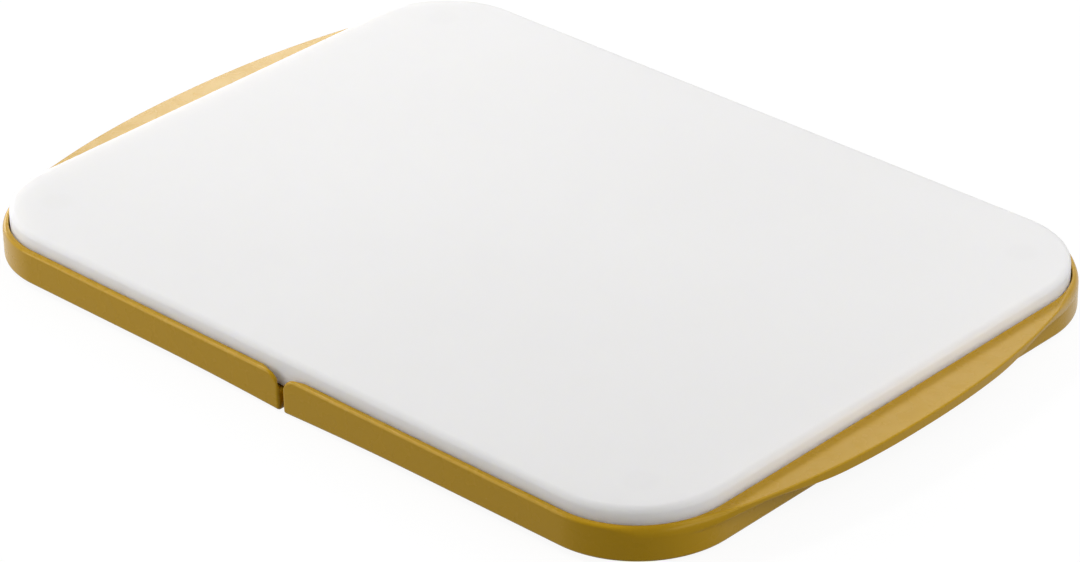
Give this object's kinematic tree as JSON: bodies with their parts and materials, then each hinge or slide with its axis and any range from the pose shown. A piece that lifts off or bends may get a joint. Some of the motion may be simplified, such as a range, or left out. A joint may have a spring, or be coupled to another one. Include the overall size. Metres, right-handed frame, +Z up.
{
  "type": "cutting board with two slide-out trays",
  "caption": "Flat plastic cutting board on two shallow half trays that slide out sideways from under it by a pull lip at each end.",
  "frame": {"origin": "on the table, under the middle of the board", "axes": "+X along the board's length, towards the right tray's lip; +Y across it, towards the back; +Z up, out of the cutting surface"},
  "size_m": [0.4008, 0.279, 0.0229],
  "materials": {
    "board": "satin, very slightly translucent white polyethylene",
    "tray": "satin mustard yellow, smooth moulded",
    "feet": "matt, pale grey soft plastic"
  },
  "bodies": {
    "board": {"cutting_board": "board", "board_foot_left_front": "feet", "board_foot_left_back": "feet", "board_foot_right_front": "feet", "board_foot_right_back": "feet"},
    "left_tray": {"left_tray": "tray", "left_tray_foot_inner_front": "feet", "left_tray_foot_inner_back": "feet", "left_tray_foot_outer_front": "feet", "left_tray_foot_outer_back": "feet"},
    "right_tray": {"right_tray": "tray", "right_tray_foot_inner_front": "feet", "right_tray_foot_inner_back": "feet", "right_tray_foot_outer_front": "feet", "right_tray_foot_outer_back": "feet"}
  },
  "joints": [
    {"name": "left_tray_slide", "type": "slide", "parent": "board", "child": "left_tray", "axis": [-1, 0, 0], "range_m": [0, 0.145]},
    {"name": "right_tray_slide", "type": "slide", "parent": "board", "child": "right_tray", "axis": [1, 0, 0], "range_m": [0, 0.145]}
  ]
}
